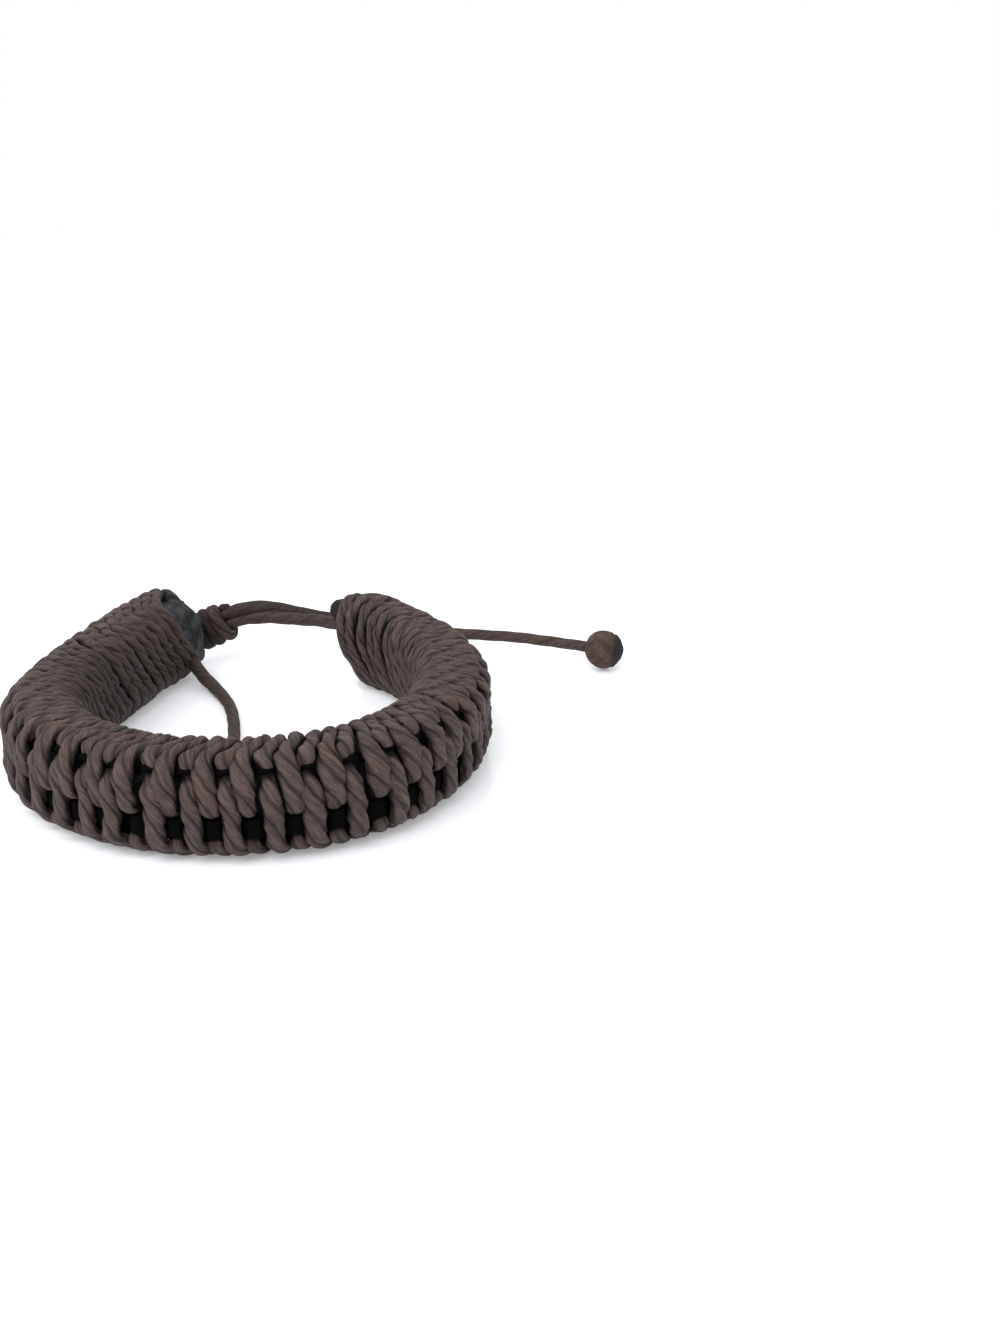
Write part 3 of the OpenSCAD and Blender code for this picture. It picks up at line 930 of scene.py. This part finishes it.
class BRACELET_OT_stage(Operator):
    """Set the camera, the pale floor and the soft light"""

    bl_idname = "bracelet.stage"
    bl_label = "Stage"

    def execute(self, context):
        _, colours, stage = settings()
        self.add_camera(context.scene)
        self.add_floor(colours)
        self.add_lights(context.scene, stage)
        return {"FINISHED"}

    def add_camera(self, scene):
        camera = bpy.data.objects.new("camera", bpy.data.cameras.new("camera"))
        right, up = Vector(CAMERA_RIGHT), Vector(CAMERA_UP)
        axes = Matrix((right, up, right.cross(up))).transposed()
        pan = Matrix.Rotation(math.radians(CAMERA_PAN), 3, "Z")
        camera.matrix_world = Matrix.Translation(Vector(CAMERA_AT) * MM) @ (pan @ axes).to_4x4()
        camera.data.lens = CAMERA_LENS
        camera.data.sensor_width = 36.0
        camera.data.clip_start = 0.01
        scene.collection.objects.link(camera)
        scene.camera = camera

    def add_floor(self, colours):
        bpy.ops.object.select_all(action="DESELECT")
        bpy.ops.mesh.primitive_plane_add(size=FLOOR_SIZE, location=(0.0, 0.0, 0.0))
        floor = bpy.context.object
        floor.name = "floor"
        floor.data.materials.append(floor_finish("pale_floor", colours.floor))

    def add_lights(self, scene, stage):
        world = bpy.data.worlds.new("surround")
        world.use_nodes = True
        background = world.node_tree.nodes["Background"]
        background.inputs["Color"].default_value = WHITE
        background.inputs["Strength"].default_value = stage.surround
        scene.world = world
        scene.view_settings.view_transform = "Standard"
        lamp = bpy.data.lights.new("overhead", "AREA")
        lamp.shape = "RECTANGLE"
        lamp.size, lamp.size_y = LAMP_W, LAMP_H
        lamp.energy = stage.overhead
        overhead = bpy.data.objects.new("overhead", lamp)
        overhead.location = LAMP_AT
        aim = Vector((0.0, 0.0, 0.0)) - overhead.location
        overhead.rotation_mode = "QUATERNION"
        overhead.rotation_quaternion = aim.to_track_quat("-Z", "Y")
        scene.collection.objects.link(overhead)


class BRACELET_OT_tails(Operator):
    """Lay the two loose tails"""

    bl_idname = "bracelet.tails"
    bl_label = "Tails"

    def execute(self, context):
        line = right_tail_line()
        radius, darkening = interp(line[:, 0], UPPER_TIE_RADIUS), interp(line[:, 0], UPPER_DARKENING)
        make_tie("right_tail_cord", "right_tail", line, radius, darkening)
        line = left_tail_line()
        make_tie("left_tail_cord", "left_tail", line, interp(line[:, 1], LEFT_TIE_RADIUS), LEFT_DARKENING)
        return {"FINISHED"}


class BRACELET_OT_closing_cord(Operator):
    """Lay the lower cord over the gap"""

    bl_idname = "bracelet.closing_cord"
    bl_label = "Closing cord"

    def execute(self, context):
        line = closing_line()
        radius = interp(line[:, 0], LOWER_TIE_RADIUS)
        make_tie("lower_closing_cord", "closing_cord", line, radius, LOWER_DARKENING)
        return {"FINISHED"}


class BRACELET_OT_ball_knots(Operator):
    bl_idname = "bracelet.ball_knots"
    bl_label = "Ball knots"

    def execute(self, context):
        _, colours, _ = settings()
        material = ball_finish("fused_ball", colours.cord)
        routes = {"right": RIGHT_TAIL_ROUTE, "left": LEFT_TAIL_ROUTE}
        lines = {"right": right_tail_line(), "left": left_tail_line()}
        for side, route in routes.items():
            ball = self.add_ball(side, route, material)
        return {"FINISHED"}

    def add_ball(self, side, route, material):
        """A ball, its axis along the cord, with a ridge and a fused cap past it."""
        centre, way = ball_centre(route)
        bpy.ops.object.select_all(action="DESELECT")
        turn = Vector(way).to_track_quat("Z", "Y").to_euler()
        bpy.ops.mesh.primitive_uv_sphere_add(
            segments=64, ring_count=48, radius=BALL_D / 2 * MM, location=Vector(centre) * MM, rotation=turn
        )
        ball = bpy.context.object
        ball.name = side + "_ball"
        bpy.ops.object.transform_apply(location=True, rotation=True, scale=True)
        self.shape_ball(ball, Vector(centre) * MM, Vector(way))
        bpy.ops.object.shade_smooth()
        ball.data.materials.append(material)
        return adopt(ball, side + "_ball_knot")

    def shape_ball(self, ball, centre, way):
        """Presses a groove beside the ridge, dents the ball and marks its fused cap."""
        radius = BALL_D / 2 * MM
        clouds = bpy.data.textures.new(ball.name + "_dents", "CLOUDS")
        clouds.noise_scale = 0.003
        dents = ball.modifiers.new("dents", "DISPLACE")
        dents.texture = clouds
        dents.texture_coords = "LOCAL"
        dents.strength = 0.0005
        dents.mid_level = 0.75
        bpy.ops.object.modifier_apply(modifier="dents")
        mesh = ball.data
        up = [(v.co - centre).dot(way) / radius for v in mesh.vertices]
        for v, height in zip(mesh.vertices, up):
            dip = hump(height, *BALL_GROOVE) - RIDGE_SHARE * hump(height, *BALL_RIDGE)
            v.co -= (v.co - centre) * GROOVE_DEPTH * dip
        fused = mesh.attributes.new("fused", "FLOAT", "POINT")
        fused.data.foreach_set("value", fade(np.array(up), *FUSED_CAP) ** 2)


class BRACELET_OT_winding(Operator):
    """Wind the cord round the core and under the laces"""

    bl_idname = "bracelet.winding"
    bl_label = "Winding"

    def execute(self, context):
        half = TURNS // 2
        make_winding("left_winding", "left_wrap_cord", range(half), [])
        before, after = np.array(turn_rows(half - 1, STILL)[-1]), np.array(turn_rows(half, STILL)[0])
        joint = before + JOINT * (after - before)
        make_winding("right_winding", "right_wrap_cord", range(half, TURNS), [joint])
        return {"FINISHED"}


class BRACELET_OT_laces(Operator):
    """Lay the two laces that the winding passes over and under"""

    bl_idname = "bracelet.laces"
    bl_label = "Laces"

    def execute(self, context):
        _, colours, _ = settings()
        material = black_leather("black_lace", colours.lace)
        upper, lower = self.upper_rows(), self.lower_rows()
        self.add_lace("upper_lace_strip", "upper_lace", material, upper, UPPER_LACE_W, ASLANT, ASLANT)
        self.add_lace("lower_lace_strip", "lower_lace", material, lower, LOWER_LACE_W, 1.0, 0.0)
        return {"FINISHED"}

    def upper_rows(self):
        rows = []
        for k in range(1, TURNS - PLAIN_TURNS + 1):
            over = ducks_upper(k)
            depth = (CORNER_DUCK - LACE_LIFT if over else LACE_LIFT) * ASLANT
            flat = FLAT_OVER if over else FLAT_UNDER
            rows += [(outer_at(k) + side * flat, EDGE_W - depth, EDGE_Z - depth) for side in (-1, 1)]
        return rows

    def lower_rows(self):
        rows = []
        for k in range(1, TURNS - 1):
            over = ducks_lower(k)
            flat = FLAT_OVER if over else FLAT_UNDER
            s = outer_at(k) + face_lean(LOWER_LACE_Z)
            w = LACE_OVER_W if over else LACE_UNDER_W
            rows += [(s + side * flat, w, LOWER_LACE_Z) for side in (-1, 1)]
        return rows

    def add_lace(self, name, node, material, rows, width, out, up):
        """A flat lace with rounded edges: out and up give the way that it faces."""
        angle = 2 * math.pi * np.arange(LACE_SIDES) / LACE_SIDES
        flat = np.sign(np.cos(angle)) * np.abs(np.cos(angle)) ** LACE_POWER * LACE_T / 2
        wide = np.sign(np.sin(angle)) * np.abs(np.sin(angle)) ** LACE_POWER * width / 2
        s, w, z = (column[:, None] for column in smooth(rows, LACE_STEP).T)
        points = place(s + 0 * flat, w + flat * out - wide * up, z + flat * up + wide * out)
        new_piece(name, node, material, points)


class BRACELET_OT_core(Operator):
    """Finish the core, whose tips show past the winding"""

    bl_idname = "bracelet.core"
    bl_label = "Core"

    def execute(self, context):
        _, colours, _ = settings()
        bpy.ops.object.select_all(action="DESELECT")
        source = frame["nodes"]["core"]
        core = bpy.data.objects.new("core_body", source.data.copy())
        context.scene.collection.objects.link(core)
        core.data.materials.clear()
        core.select_set(True)
        context.view_layer.objects.active = core
        bpy.ops.object.mode_set(mode="EDIT")
        bpy.ops.mesh.select_all(action="SELECT")
        bpy.ops.mesh.remove_doubles(threshold=0.00001)
        bpy.ops.mesh.tris_convert_to_quads(face_threshold=0.7, shape_threshold=0.7)
        bpy.ops.object.mode_set(mode="OBJECT")
        self.finish_surface(core)
        core.data.materials.append(core_leather("core_leather", colours.core, colours.core_worn))
        adopt(core, "core")
        return {"FINISHED"}

    def finish_surface(self, core):
        """Draws out the core's right tip and lowers its top, rounds the core's edges and roughens it.

        The left arm is past the place near the right tip too, so it moves the same little way."""
        end, before = LINE[-1], LINE[-2]
        way = Vector((*unit(end - before), 0.0))
        for v in core.data.vertices:
            past = (v.co - Vector((*end, 0.0)) * MM).dot(way) / MM
            if past > RIGHT_TIP_FROM:
                v.co += way * (RIGHT_TIP * MM)
            if v.co.z > BAND_H / 2 * MM:
                v.co.z -= interp(past, RIGHT_TIP_DROP) * MM * (v.co.x > 0)
        soften = core.modifiers.new("soften", "BEVEL")
        soften.width = 0.0003
        soften.segments = 2
        soften.limit_method = "ANGLE"
        soften.angle_limit = math.radians(30)
        bpy.ops.object.modifier_apply(modifier="soften")
        divide = core.modifiers.new("divide", "SUBSURF")
        divide.subdivision_type = "SIMPLE"
        divide.levels = divide.render_levels = 2
        bpy.ops.object.modifier_apply(modifier="divide")
        clouds = bpy.data.textures.new("core_lumps", "CLOUDS")
        clouds.noise_scale = 0.0012
        lumps = core.modifiers.new("lumps", "DISPLACE")
        lumps.texture = clouds
        lumps.texture_coords = "LOCAL"
        lumps.strength = 0.0007
        lumps.mid_level = 0.5
        bpy.ops.object.modifier_apply(modifier="lumps")
        bpy.ops.object.shade_smooth_by_angle(angle=math.radians(50))
        worn = core.data.attributes.new("worn", "FLOAT", "POINT")
        levels = [LEFT_WORN if v.co.x < 0.0 else RIGHT_WORN for v in core.data.vertices]
        worn.data.foreach_set("value", levels)


class BRACELET_OT_sliding_knot(Operator):
    """Wrap the sliding knot round the closing cords"""

    bl_idname = "bracelet.sliding_knot"
    bl_label = "Sliding knot"

    def execute(self, context):
        sizes, _, _ = settings()
        start, end, way, side, up = knot_frame()
        at = np.arange(KNOT_TURNS * KNOT_STEPS + 1) / KNOT_STEPS
        a = np.radians(90 - 360 * at)[:, None]
        centre = (start + end) / 2 + way * KNOT_PITCH * (at - KNOT_TURNS / 2)[:, None]
        tuck = interp(at, KNOT_TUCK)[:, None]
        line = centre + tuck * (KNOT_HALF_W * np.cos(a) * side + KNOT_HALF_H * np.sin(a) * up)
        out = unit(np.cos(a) / KNOT_HALF_W * side + np.sin(a) / KNOT_HALF_H * up)
        points, length, angle, groove = self.wrap_points(line, out, way, sizes)
        # Painted shade in the ply grooves and on the knot's first turns
        dark = np.maximum(groove[None, :], interp(at, KNOT_PAINTED_SHADE)[:, None])
        material = cord_material(*TIE_LOOK)
        new_cord("wrapped_knot", "sliding_knot", "closing_cord", material, points, length, angle, dark)
        return {"FINISHED"}

    def wrap_points(self, line, out, way, sizes):
        """Rings of the wrapping cord, pressed flat on the cords inside."""
        length = distances(line)
        angle, share, groove = ply_shape(TIE_SIDES, sizes.groove)
        turned = (angle[None, :] + 2 * math.pi * length[:, None] / (sizes.tie_twist / MM))[..., None]
        ring = out[:, None] * KNOT_THICK * np.cos(turned) + way * KNOT_WIDE * np.sin(turned)
        return line[:, None] + ring * share[None, :, None], length, angle, groove


STEPS = (
    BRACELET_OT_stage,
    BRACELET_OT_tails,
    BRACELET_OT_ball_knots,
    BRACELET_OT_closing_cord,
    BRACELET_OT_sliding_knot,
    BRACELET_OT_winding,
    BRACELET_OT_laces,
    BRACELET_OT_core,
)


class BRACELET_PT_parts(Panel):
    """The bracelet's settings and pieces"""

    bl_label = "Bracelet"
    bl_idname = "BRACELET_PT_parts"
    bl_space_type = "VIEW_3D"
    bl_region_type = "UI"
    bl_category = "Bracelet"

    def draw(self, context):
        for group in settings():
            for name in group.bl_rna.properties.keys():
                if name not in {"rna_type", "name"}:
                    self.layout.prop(group, name)
        for step in STEPS:
            self.layout.operator(step.bl_idname)


CLASSES = (BraceletSizes, BraceletColours, BraceletStage, *STEPS, BRACELET_PT_parts)


def register():
    for item in CLASSES:
        bpy.utils.register_class(item)
    bpy.types.Scene.bracelet_sizes = PointerProperty(type=BraceletSizes)
    bpy.types.Scene.bracelet_colours = PointerProperty(type=BraceletColours)
    bpy.types.Scene.bracelet_stage = PointerProperty(type=BraceletStage)


def unregister():
    del bpy.types.Scene.bracelet_sizes
    del bpy.types.Scene.bracelet_colours
    del bpy.types.Scene.bracelet_stage
    for item in reversed(CLASSES):
        bpy.utils.unregister_class(item)


def main():
    register()
    for step in STEPS:
        group, name = step.bl_idname.split(".")
        getattr(getattr(bpy.ops, group), name)()


if __name__ == "__main__":
    main()
